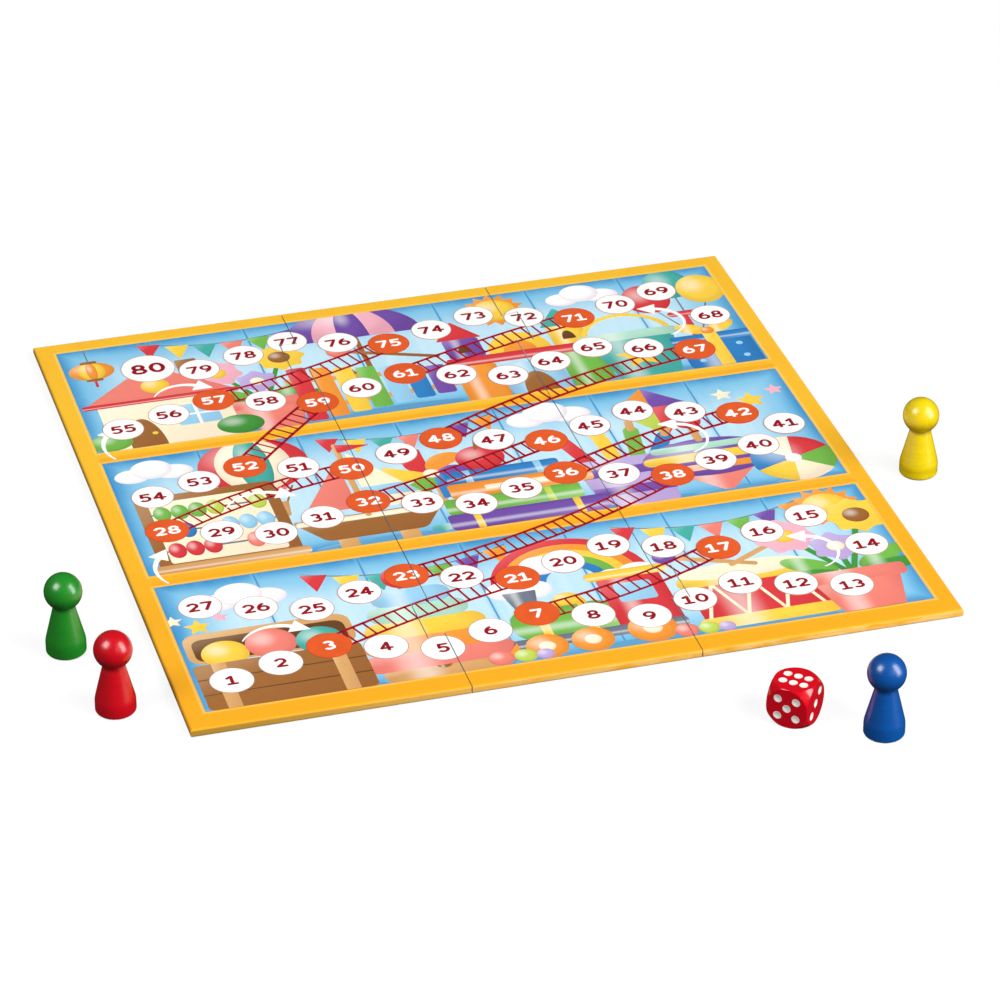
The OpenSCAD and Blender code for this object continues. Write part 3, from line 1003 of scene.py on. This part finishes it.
@node_group(
    {"Paint": "Color", "Span": "Vector", "Ball": "Float", "Tube": "Float"}, {"Colour": "Color"}
)
def airbrush(graph, start):
    """Soft light and shade over a painted shape, by shares of its own span."""
    paint, ball, tube = start["Paint"], start["Ball"], start["Tube"]
    x, y = (graph.minus(part, 0.5) for part in graph.split(start["Span"])[:2])

    def apart(at_x, at_y):
        near_x, near_y = graph.minus(x, at_x), graph.minus(y, at_y)
        squares = graph.plus(graph.times(near_x, near_x), graph.times(near_y, near_y))
        return graph.math("SQRT", squares)

    ball_glow = graph.times(graph.rise(apart(-0.14, 0.16), 0.36, 0.02), ball)
    ball_dark = graph.times(graph.rise(apart(-0.05, 0.07), 0.26, 0.58), ball)
    lit_side = graph.math("ABSOLUTE", graph.plus(x, 0.16))
    tube_glow = graph.times(graph.rise(lit_side, 0.2, 0.0), tube)
    tube_dark = graph.times(graph.rise(graph.math("ABSOLUTE", x), 0.18, 0.52), tube)
    slope = graph.minus(x, y)
    low_dark = graph.rise(slope, -0.3, 0.9, 0.6)
    sheen = graph.rise(slope, -0.2, -0.9, 0.5)
    mottle = graph.rise(graph.noise(420.0, 5.0), 0.3, 0.75, 0.24)
    dark = graph.times(graph.most(ball_dark, tube_dark, low_dark, mottle), SHADE_SHARE)
    glow = graph.times(graph.most(ball_glow, tube_glow), GLOW_SHARE)
    deep = graph.dye(paint, SHADE_DYE)
    light = graph.add("ShaderNodeGamma", {0: paint, 1: 0.5}).outputs[0]
    return {"Colour": graph.coats(paint, (dark, deep), (sheen, light), (glow, WARM_WHITE))}


@node_group(
    {"Place": "Vector", "Left": "Float", "Right": "Float", "Front": "Float", "Back": "Float"},
    {"Depth": "Float"},
)
def field_depth(graph, start):
    """How far a point lies inside a rectangle, less than nothing outside it."""
    x, y, _ = graph.split(start["Place"])
    depth = graph.least(
        graph.minus(x, start["Left"]), graph.minus(start["Right"], x),
        graph.minus(y, start["Front"]), graph.minus(start["Back"], y),
    )
    return {"Depth": depth}


@node_group(
    {"Paint": "Color", "Grain": "Float", "Neck": "Float"},
    {"Colour": "Color", "Roughness": "Float", "Height": "Float"},
)
def turned_lacquer(graph, start):
    """Lacquer over turned wood, which shows some rings and grain, with painted shade at the neck.
    """
    paint = start["Paint"]
    rings = graph.noise(1600.0, 3.0, (0.06, 0.06, 1.0))
    grain = graph.noise(1200.0, 4.0, (1.0, 1.0, 0.07))
    marks = graph.most(graph.rise(rings, 0.45, 0.75), graph.rise(grain, 0.5, 0.8))
    over_neck = graph.minus(graph.split(graph.place())[2], start["Neck"])
    # Painted shade about the neck, under the head, where little light reaches
    neck_shade = graph.times(
        graph.rise(over_neck, NECK_SHADE_HIGH, NECK_SHADE_TO, NECK_SHADE_SHARE),
        graph.rise(over_neck, NECK_SHADE_LOW, NECK_SHADE_FROM),
    )
    lacquer = graph.coats(
        paint,
        (graph.times(marks, start["Grain"]), graph.dye(paint, GRAIN_DYE)),
        (neck_shade, graph.dye(paint, NECK_SHADE_DYE)),
    )
    smear = graph.math("MULTIPLY_ADD", graph.noise(300.0), 0.12, 0.22)
    return {"Colour": lacquer, "Roughness": smear, "Height": rings}


def on_paper(finish, paint, gloss=PRINT_GLOSS):
    """Material of coated paper that carries a paint."""
    paper = finish.group(coated_paper(), Gloss=gloss)
    finish.set(Base_Color=paint, Roughness=paper["Roughness"], Specular_IOR_Level=PAPER_SHINE)
    finish.grain(paper["Height"], PAPER_RELIEF)
    return finish.material


def brushed_ink(name, ball, tube):
    """Ink of the pictures, shaded as a ball, a tube or flat."""
    finish = Finish(name)
    paint = finish.add("ShaderNodeAttribute", attribute_name="ink").outputs["Color"]
    span = finish.add("ShaderNodeUVMap", uv_map="span").outputs[0]
    brushed = finish.group(airbrush(), Paint=paint, Span=span, Ball=ball, Tube=tube)
    return on_paper(finish, brushed["Colour"])


def plain_ink(name, paint, uneven=0.06):
    """Ink of one colour, a little uneven as it lies on the paper."""
    finish = Finish(name)
    patch = finish.rise(finish.noise(180.0, 4.0), 0.35, 0.75, uneven)
    return on_paper(finish, finish.mix(patch, paint, deeper(paint)))


def field_paint(finish, x, depth):
    """Planked fields, dark along their edges and pale inside."""
    ink = settings().printing
    cloudy = finish.math("MULTIPLY_ADD", finish.noise(28.0, 3.0), 0.008, -0.004)
    soft = finish.plus(depth, cloudy)
    fibre = finish.rise(finish.noise(300.0, 4.0, (1.0, 0.06, 1.0)), 0.35, 0.75, 0.2)
    planks = finish.math("DIVIDE", finish.minus(x, ink.plank_at), ink.plank_w)
    nearest = finish.minus(planks, finish.math("ROUND", planks))
    joint = finish.times(finish.math("ABSOLUTE", nearest), ink.plank_w)
    return finish.coats(
        ink.field_edge,
        (finish.rise(soft, -0.001, 0.006), ink.field_rim),
        (finish.rise(soft, 0.003, 0.022), ink.field_middle),
        (fibre, ink.field_rim),
        (finish.rise(joint, 0.0016, 0.0002, 0.35), ink.field_rim),
        (finish.rise(joint, 0.00038, 0.00018, 0.95), ink.plank_line),
    )


def border_paint(finish, place, depth, top):
    """Border and bars, deeper to the front, with a light line inside and a worn edge with painted
    shade and light.
    """
    ink = settings().printing
    x, y, z = place
    left, right = field_sides()
    uneven = finish.rise(finish.noise(90.0, 3.0, (1.0, 0.4, 1.0)), 0.4, 0.8, 0.35)
    across = finish.times(
        finish.rise(x, left - BAR_END, left, BAR_SHARE), finish.rise(x, right + BAR_END, right), top
    )
    bar_fronts = []
    for bar in (ink.lower_bar, ink.upper_bar):
        front = bar - ink.bar_w / 2
        bar_fronts.append(
            finish.times(
                finish.rise(y, front, front + BAR_FRONT),
                finish.rise(y, bar + BAR_MIDDLE, bar - BAR_MIDDLE),
                across,
            )
        )
    rubbed = finish.rise(finish.noise(700.0, 4.0, (0.25, 0.25, 1.0)), 0.25, 0.7)
    # Painted shade and light along the edge: darkest at the left end, lighter towards the right
    painted_light_to_right = finish.rise(x, BOARD_LOW.x, PAINTED_LIGHT_TO_X)
    kept = finish.times(painted_light_to_right, finish.minus(1.0, rubbed))
    # The edge below the top takes painted shade at the left end and rubbed wear with painted light
    # to the right
    turned_down = finish.rise(z, SHEET_TOP - WEAR_AND_SHADE_FROM, SHEET_TOP - WEAR_AND_SHADE_TO)
    wear_and_shade = finish.minus(turned_down, finish.times(turned_down, kept))
    line = finish.times(
        finish.rise(depth, LINE_FROM, LINE_FULL_FROM), finish.rise(depth, LINE_TO, LINE_FULL_TO),
        LINE_SHARE,
    )
    return finish.coats(
        ink.border,
        (finish.rise(y, DEEP_FROM_Y, BOARD_LOW.y), ink.border_deep),
        (uneven, ink.border_deep),
        *((front, ink.border_deep) for front in bar_fronts),
        # The edge: rubbed wear, and painted shade that is darkest at the left end
        (wear_and_shade, finish.mix(painted_light_to_right, ink.border_shade, ink.border_edge)),
        (line, ink.border_line),
    )


def board_print():
    """The printed ground: border, bars and three planked fields."""
    finish = Finish("board_print")
    place = finish.place()
    x, y, z = finish.split(place)
    left, right = field_sides()
    depths = [
        finish.group(
            field_depth(), Place=place, Left=left, Right=right, Front=front, Back=back
        )["Depth"]
        for front, back in field_rows()
    ]
    # Below the top edge only the border's colour goes on, round the edge and underneath
    top = finish.math("GREATER_THAN", z, SHEET_TOP - EDGE_FROM)
    depth = finish.least(finish.most(*depths), finish.minus(top, 0.5))
    gold = border_paint(finish, (x, y, z), depth, top)
    inside = finish.rise(depth, -INNER_EDGE, INNER_EDGE)
    return on_paper(finish, finish.mix(inside, gold, field_paint(finish, x, depth)))


# The print's layout


def field_sides():
    """Left and right edge of the fields."""
    ink = settings().printing
    return BOARD_LOW.x + ink.border_left, BOARD_HIGH.x - ink.border_right


def field_rows():
    """Front and back of the three fields."""
    ink = settings().printing
    half = ink.bar_w / 2
    return (
        (BOARD_LOW.y + ink.border_front, ink.lower_bar - half),
        (ink.lower_bar + half, ink.upper_bar - half),
        (ink.upper_bar + half, BOARD_HIGH.y - ink.border_back),
    )


def disc_places():
    """Centre of every number disc, by its number."""
    ink = settings().printing
    lane = ink.lane_gap / 2
    first = -(LANE_COUNT - 1) / 2 * ink.disc_step - LANE_SHIFT
    xs = [first + i * ink.disc_step for i in range(LANE_COUNT)]
    places = []
    for row, (front, back) in enumerate(field_rows()):
        middle = (front + back) / 2
        # The middle field's lanes swing the other way
        phase = 0 if row == 1 else 2
        swing = [ink.lane_wave * math.cos((i - phase) * math.pi / 2) for i in range(LANE_COUNT)]
        places += [(x, middle - lane + s) for x, s in zip(xs, swing)]
        places.append((xs[-1] + ink.disc_step * TURN_SHARE, middle))
        places += [(x, middle + lane - s) for x, s in zip(xs[::-1], swing[::-1])]
    return dict(enumerate(places[:LAST_NUMBER], 1))


def ladder_ends():
    """Numbers that have a ladder's end."""
    return {number for ladder in LADDERS for number in ladder[:2]}


def ladder_shape(far, bow):
    """A ladder along X from the origin, bowed to its left, in millimetres."""
    ink = settings().printing
    gap, rail_w, rung_w, step = (
        size / MM for size in (ink.rail_gap, ink.rail_w, ink.rung_w, ink.rung_step)
    )
    radius = (far * far / 4 + bow * bow) / (2 * abs(bow))
    half = math.degrees(math.asin(far / 2 / radius))
    shape = bmesh.new()
    for edge in (-1, 1):
        join(shape, band(radius + edge * gap / 2, rail_w, 90 - half, 90 + half))
    count = round(far / step)
    for i in range(count + 1):
        angle = 90 - half + 2 * half * i / count
        join(shape, turned(card(gap, rung_w, 0), angle, radius))
    if bow < 0:
        turned(shape, 180)
    return moved(shape, far / 2, bow - math.copysign(radius, bow), 0)


def arrow_shape(radius, start, end):
    """A bent arrow that swells from its tail to its head, in millimetres."""
    width = settings().printing.arrow_w / MM
    way = math.copysign(1, end - start)
    shape = band(radius, width, start, end)
    for vert in shape.verts:
        angle = math.degrees(math.atan2(vert.co.y, vert.co.x))
        done = ((angle - start) * way % FULL_TURN) / abs(end - start)
        # A point just before the tail counts as nearly a full turn past it
        swell = ARROW_TAIL + (1 - ARROW_TAIL) * min(done, 1.0) if done < 1.5 else ARROW_TAIL
        from_middle = vert.co.length - radius
        vert.co *= (radius + from_middle * swell) / vert.co.length
    half, tip = ARROW_HEAD_W * width, way * ARROW_HEAD_L * width
    head = panel(-half, 0, half, 0, 0, tip, ARROW_CORNER * width)
    return join(shape, turned(head, end, radius))


def digit_shape(digit):
    """A digit of even strokes, one unit tall, with each stroke a little over the one before."""
    half = NUMERAL_WEIGHT / 2
    near, far = 1, 2
    shape = bmesh.new()
    for order, (kind, *words) in enumerate(entries(DIGITS[digit])):
        x, y, *sizes = numbers(words)
        if kind == "bow":
            wide, tall, start, end = sizes
            part = sweep(near, far, start, end)
            for vert in part.verts:
                way = vert.co.normalized()
                side = half if vert.co.length > (near + far) / 2 else -half
                vert.co = way.x * (wide + side), way.y * (tall + side), 0
        else:
            part = stroke(*sizes, NUMERAL_WEIGHT)
        join(shape, moved(part, x, y, order * settings().printing.film_t / len(DIGITS)))
    return shape


def numeral_shape(number, height):
    """A number with its middle at the origin."""
    shape = bmesh.new()
    x = 0.0
    for digit in str(number):
        part = digit_shape(digit)
        low, high = extent(part)
        join(shape, moved(part, x - low.x, 0, 0))
        x += high.x - low.x + NUMERAL_GAP
    low, high = extent(shape)
    moved(shape, (low.x + high.x) / -2, -0.5, 0)
    return scaled(shape, height * NUMERAL_WIDTH, height)


def pawn_shape(sizes, foot_d, height):
    """A turned pawn on its origin: its outline is spun round its upright axis."""
    bm = bmesh.new()
    foot_r, head_r, neck_r = foot_d / 2, sizes.head_d / 2, sizes.neck_d / 2
    head_z = height - head_r
    neck_a = -math.acos(neck_r / head_r)
    curve_x = foot_r - sizes.foot_curve
    to_neck = Vector((neck_r - curve_x, head_z + head_r * math.sin(neck_a) - sizes.foot_h))
    touch_a = math.atan2(to_neck.y, to_neck.x) - math.acos(sizes.foot_curve / to_neck.length)
    last = bm.verts.new((0, 0, 0))
    # Arcs of the outline: middle, radius, start and end of the lower edge, the body and the head
    for x, z, radius, start, end in (
        (foot_r - sizes.foot_edge, sizes.foot_edge, sizes.foot_edge, -math.pi / 2, 0),
        (curve_x, sizes.foot_h, sizes.foot_curve, 0, touch_a),
        (0, head_z, head_r, neck_a, math.pi / 2),
    ):
        first = bm.verts.new((x + radius * math.cos(start), 0, z + radius * math.sin(start)))
        bm.edges.new((last, first))
        made = bmesh.ops.spin(
            bm, geom=[first], cent=(x, 0, z), axis=(0, -1, 0), angle=end - start, steps=ARC_STEPS
        )
        last = made["geom_last"][0]
    bmesh.ops.spin(
        bm, geom=bm.verts[:] + bm.edges[:], cent=(0, 0, 0), axis=(0, 0, 1), angle=2 * math.pi,
        steps=TURN_STEPS, use_merge=True,
    )
    bmesh.ops.remove_doubles(bm, verts=bm.verts, dist=PAWN_MERGE)
    bmesh.ops.recalc_face_normals(bm, faces=bm.faces)
    return bm


# The studio


def mix_shaders(finish, share, first, second):
    """Shader between two others."""
    return finish.add("ShaderNodeMixShader", {0: share, 1: first, 2: second}).outputs[0]


def floor_material(values):
    """A floor that is white to the camera, darker to the pieces, and clear from below."""
    finish = Finish("floor")
    finish.tree.nodes.remove(finish.shader)
    path = finish.add("ShaderNodeLightPath").outputs
    seen = path["Is Camera Ray"]
    paint = finish.coats(
        values.floor_bounce, (seen, values.floor), (path["Is Glossy Ray"], values.floor_mirror)
    )
    matt = finish.add("ShaderNodeBsdfDiffuse", {"Color": paint}).outputs[0]
    glow = finish.add("ShaderNodeEmission", {"Strength": FLOOR_WHITE}).outputs[0]
    clear = finish.add("ShaderNodeBsdfTransparent").outputs[0]
    # White away from the pieces, with soft contact shadows under them
    open_sky = finish.add("ShaderNodeAmbientOcclusion", {"Distance": CONTACT_REACH}, samples=8)
    near = finish.times(
        seen, values.floor_glow, finish.rise(open_sky.outputs["AO"], 0.02, 0.3)
    )
    reach = finish.add("ShaderNodeVectorMath", {0: finish.place()}, operation="LENGTH")
    far = finish.times(seen, finish.rise(reach.outputs["Value"], 0.16, 0.5))
    surface = mix_shaders(finish, finish.most(near, far), matt, glow)
    # From below the floor is clear, and lets light up to the undersides
    close = finish.minus(finish.math("LESS_THAN", path["Ray Length"], 5 * FLOOR_DROP), seen)
    below = finish.add("ShaderNodeNewGeometry").outputs["Backfacing"]
    surface = mix_shaders(finish, finish.most(below, close), surface, clear)
    finish.feed(finish.tree.nodes["Material Output"].inputs[0], surface)
    return finish.material


def light_surroundings(scene, values):
    """Surroundings that are white to the camera, and dim to the pieces and in reflections."""
    world = bpy.data.worlds.new("studio")
    world.use_nodes = True
    scene.world = world
    graph = Graph(world.node_tree)
    backdrop = world.node_tree.nodes["Background"].inputs
    path = graph.add("ShaderNodeLightPath").outputs
    level = graph.math(
        "MULTIPLY_ADD", path["Is Camera Ray"], 1.0 - values.ambient, values.ambient
    )
    mirrored = graph.times(path["Is Glossy Ray"], values.ambient - values.mirrored)
    graph.feed(backdrop["Color"], (1, 1, 1, 1))
    graph.feed(backdrop["Strength"], graph.minus(level, mirrored))


def hang_lamps(scene, values):
    """Lamps round the board, which face its middle."""
    for name, (direction, wide, tall, mirrored) in LAMPS.items():
        data = bpy.data.lights.new(name, "AREA")
        data.shape = "RECTANGLE"
        data.energy, data.size, data.size_y = getattr(values, name), wide, tall
        lamp = bpy.data.objects.new(name, data)
        towards = Vector(direction).normalized()
        lamp.location = towards * LAMP_DISTANCE
        lamp.rotation_euler = towards.to_track_quat("Z", "Y").to_euler()
        lamp.visible_glossy = mirrored
        scene.collection.objects.link(lamp)
    # The blue pawn stands right before the die, and lets the right lamp past to it
    passed = bpy.data.collections.new("lets_light_past")
    passed.objects.link(bpy.data.objects["turned_pawn_blue"])
    passed.collection_objects[0].light_linking.link_state = "EXCLUDE"
    bpy.data.objects["right_lamp"].light_linking.blocker_collection = passed


def set_camera(scene, values):
    """Camera in front of the board, above it and a little to the left."""
    data = bpy.data.cameras.new("camera")
    data.lens = values.lens
    data.sensor_width = SENSOR_W
    camera = bpy.data.objects.new("camera", data)
    board_w = BOARD_HIGH.x - BOARD_LOW.x
    spot = Vector(CAMERA_PLACE) * board_w + Vector((0, 0, SHEET_TOP))
    turn = Matrix(CAMERA_AXES).transposed()
    camera.matrix_world = Matrix.Translation(spot) @ turn.to_4x4()
    scene.collection.objects.link(camera)
    scene.camera = camera


# Operators


class BOARD_OT_panels(bpy.types.Operator):
    """Finishes the panels: printed sheets, grey board cores and paper liners"""

    bl_idname = "board_game.panels"
    bl_label = "Finish Panels"

    def execute(self, context):
        paints = settings().panels
        core = Finish("grey_board", Specular_IOR_Level=0.2)
        fibres = core.noise(900.0, 6.0, (1.0, 1.0, 4.0))
        flecks = core.rise(core.noise(2600.0, 3.0), 0.6, 0.72, 0.6)
        grey = core.coats(
            paints.core_dark,
            (core.rise(fibres, 0.3, 0.7), paints.core_light),
            (flecks, paints.core_fleck),
        )
        core.set(Base_Color=grey, Roughness=core.rise(fibres, 0.9, 0.1))
        core.grain(fibres, CORE_RELIEF)
        liner = Finish("back_liner")
        pulp = liner.rise(liner.noise(420.0, 6.0), 0.3, 0.8)
        on_paper(liner, liner.mix(pulp, paints.liner, paints.liner_pulp), LINER_GLOSS)
        sheet = board_print()
        for part in PANELS:
            paint_node(f"{part}_printed_sheet", sheet)
            paint_node(f"{part}_panel_core", core.material)
            paint_node(f"{part}_back_liner", liner.material)
        return {"FINISHED"}


class BOARD_OT_pictures(bpy.types.Operator):
    """Prints the pictures in the three fields"""

    bl_idname = "board_game.pictures"
    bl_label = "Print Pictures"

    def execute(self, context):
        layer = new_layer()
        left, right = field_sides()
        for (floor, top), field in zip(field_rows(), FIELDS):
            inside = Vector((left, floor, 0)), Vector((right, top, 0))
            for name, *words in entries(field):
                across, up, scale = numbers(words)
                foot = Vector((across, floor / MM + up))
                for kind, paint, (x, y, *sizes) in shapes_of(name):
                    maker, style = SHAPES[kind]
                    span = None
                    if kind == "slice":
                        # A slice is shaded as a part of its whole ball
                        corner = Vector((sizes[0], sizes[0], 0))
                        span = -corner, corner
                    spot = (foot + Vector((x, y)) * scale) * MM
                    FILMS.lay(
                        layer, maker(*sizes), at(spot.x, spot.y, scale), tint(PAINTS[paint]),
                        INK_SLOTS[style], span, style == "beam", inside,
                    )
        inks = [
            brushed_ink("ball_ink", 1, 0), brushed_ink("tube_ink", 0, 1),
            brushed_ink("flat_ink", 0, 0),
        ]
        set_down(layer, "pictures", inks)
        return {"FINISHED"}


class BOARD_OT_ladders(bpy.types.Operator):
    """Prints the ladders and the arrows"""

    bl_idname = "board_game.ladders"
    bl_label = "Print Ladders"

    def execute(self, context):
        ink = settings().printing
        places = disc_places()
        layer = new_layer()
        for low, high, bow in LADDERS:
            foot = Vector(places[low])
            way = Vector(places[high]) - foot
            shape = ladder_shape(way.length / MM, bow)
            FILMS.lay(layer, shape, at(*foot, 1, math.atan2(way.y, way.x)), ink.ladder)
        for x, y, radius, start, end in ARROWS:
            FILMS.lay(layer, arrow_shape(radius, start, end), at(x * MM, y * MM), ink.arrow, 1)
        inks = [plain_ink("ladder_ink", ink.ladder, 0.25), plain_ink("arrow_ink", ink.arrow)]
        set_down(layer, "ladders", inks)
        return {"FINISHED"}


class BOARD_OT_discs(bpy.types.Operator):
    """Prints the number discs"""

    bl_idname = "board_game.discs"
    bl_label = "Print Discs"

    def execute(self, context):
        ink = settings().printing
        widths = ink.disc_d, ink.end_disc_d
        paints = ink.disc, ink.end_disc, ink.disc_rim, ink.end_rim
        ends = ladder_ends()
        layer = new_layer()
        for number, (x, y) in disc_places().items():
            kind = int(number in ends)
            wide = ink.last_disc_d if number == LAST_NUMBER else widths[kind]
            for slot, size in ((2 + kind, wide + 2 * ink.rim_w), (kind, wide)):
                shape = oval(size / MM, size / MM, DISC_STEPS)
                FILMS.lay(layer, shape, at(x, y), paints[slot], slot)
        inks = [
            plain_ink("disc_ink", ink.disc), plain_ink("ladder_disc_ink", ink.end_disc, 0.5),
            plain_ink("disc_rim_ink", ink.disc_rim), plain_ink("ladder_rim_ink", ink.end_rim),
        ]
        set_down(layer, "discs", inks)
        return {"FINISHED"}


class BOARD_OT_numerals(bpy.types.Operator):
    """Prints the numbers on the discs"""

    bl_idname = "board_game.numerals"
    bl_label = "Print Numerals"

    def execute(self, context):
        ink = settings().printing
        paints = ink.numeral, ink.disc
        ends = ladder_ends()
        layer = new_layer()
        for number, (x, y) in disc_places().items():
            kind = int(number in ends)
            tall = ink.numeral_h / MM
            if number == LAST_NUMBER:
                tall *= ink.last_disc_d / ink.disc_d
            FILMS.lay(layer, numeral_shape(number, tall), at(x, y), paints[kind], kind)
        inks = [
            plain_ink("numeral_ink", ink.numeral, 0.4), plain_ink("light_numeral_ink", ink.disc)
        ]
        set_down(layer, "numerals", inks)
        return {"FINISHED"}


class BOARD_OT_pawns(bpy.types.Operator):
    """Turns the four pawns"""

    bl_idname = "board_game.pawns"
    bl_label = "Turn Pawns"

    def execute(self, context):
        sizes = settings().pawns
        for name, grain in PAWN_GRAIN.items():
            node = f"pawn_{name}"
            low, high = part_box(node)
            neck_z = high.z - (sizes.head_d + math.sqrt(sizes.head_d**2 - sizes.neck_d**2)) / 2
            finish = Finish(
                f"{name}_lacquer", Coat_Weight=1.0, Coat_Roughness=0.28, Coat_IOR=1.8,
                Specular_IOR_Level=0.05,
            )
            lacquer = finish.group(
                turned_lacquer(), Paint=getattr(sizes, name), Grain=grain, Neck=neck_z
            )
            finish.set(Base_Color=lacquer["Colour"], Roughness=lacquer["Roughness"])
            finish.grain(lacquer["Height"], LACQUER_RELIEF)
            bm = pawn_shape(sizes, high.x - low.x, high.z - low.z)
            moved(bm, (low.x + high.x) / 2, (low.y + high.y) / 2, low.z)
            pawn = new_piece(f"turned_{node}", bm, [finish.material], smooth=True)
            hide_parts(node)
            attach(pawn, f"{name}_pawn")
        return {"FINISHED"}


class BOARD_OT_die(bpy.types.Operator):
    """Finishes the die and its pips"""

    bl_idname = "board_game.die"
    bl_label = "Finish Die"

    def execute(self, context):
        paints = settings().die
        for node, paint, gloss in (("die_body", paints.body, 0.1), ("die_pips", paints.pips, 0.24)):
            finish = Finish(node, Coat_Weight=0.8, Coat_Roughness=0.12)
            smear = finish.math("MULTIPLY_ADD", finish.noise(300.0, 3.0), 0.12, gloss)
            cloud = finish.rise(finish.noise(160.0), 0.3, 0.8, 0.25)
            finish.set(Base_Color=finish.mix(cloud, paint, deeper(paint)), Roughness=smear)
            finish.grain(finish.noise(900.0), DIE_RELIEF)
            paint_node(node, finish.material)
        return {"FINISHED"}


class BOARD_OT_stage(bpy.types.Operator):
    """Sets up the floor, the lamps, the surroundings and the camera"""

    bl_idname = "board_game.stage"
    bl_label = "Set Up Stage"

    def execute(self, context):
        scene = context.scene
        values = settings().stage
        scene.view_settings.view_transform = "Standard"
        bm = bmesh.new()
        bmesh.ops.create_grid(bm, x_segments=1, y_segments=1, size=FLOOR_HALF)
        floor = new_piece("floor", moved(bm, 0, 0, -FLOOR_DROP), [floor_material(values)])
        light_surroundings(scene, values)
        hang_lamps(scene, values)
        set_camera(scene, values)
        return {"FINISHED"}


class BOARD_PT_sidebar(bpy.types.Panel):
    """Lists the steps that build the board and its pieces"""

    bl_label = "Snakes and Ladders Board"
    bl_idname = "BOARD_PT_sidebar"
    bl_space_type = "VIEW_3D"
    bl_region_type = "UI"
    bl_category = "Board Game"

    def draw(self, context):
        values = context.scene.board_game
        for step, group in STEPS:
            self.layout.operator(step)
            if group:
                for label in getattr(values, group).__annotations__:
                    self.layout.prop(getattr(values, group), label)


# Steps in their order, each with the settings that the sidebar shows below it
STEPS = (
    ("board_game.panels", "panels"),
    ("board_game.pictures", "printing"),
    ("board_game.ladders", None),
    ("board_game.discs", None),
    ("board_game.numerals", None),
    ("board_game.pawns", "pawns"),
    ("board_game.die", "die"),
    ("board_game.stage", "stage"),
)

CLASSES = (
    PrintSettings, PanelSettings, PawnSettings, DieSettings, StageSettings, BoardGameSettings,
    BOARD_OT_panels, BOARD_OT_pictures, BOARD_OT_ladders, BOARD_OT_discs, BOARD_OT_numerals,
    BOARD_OT_pawns, BOARD_OT_die, BOARD_OT_stage, BOARD_PT_sidebar,
)


def register():
    """Registers the settings, the steps and the sidebar panel."""
    for item in CLASSES:
        bpy.utils.register_class(item)
    bpy.types.Scene.board_game = PointerProperty(type=BoardGameSettings)


def unregister():
    """Takes the settings, the steps and the sidebar panel away again."""
    del bpy.types.Scene.board_game
    for item in reversed(CLASSES):
        bpy.utils.unregister_class(item)


def main():
    """Builds everything in order."""
    register()
    for step, _ in STEPS:
        family, name = step.split(".")
        getattr(getattr(bpy.ops, family), name)()


if __name__ == "__main__":
    main()
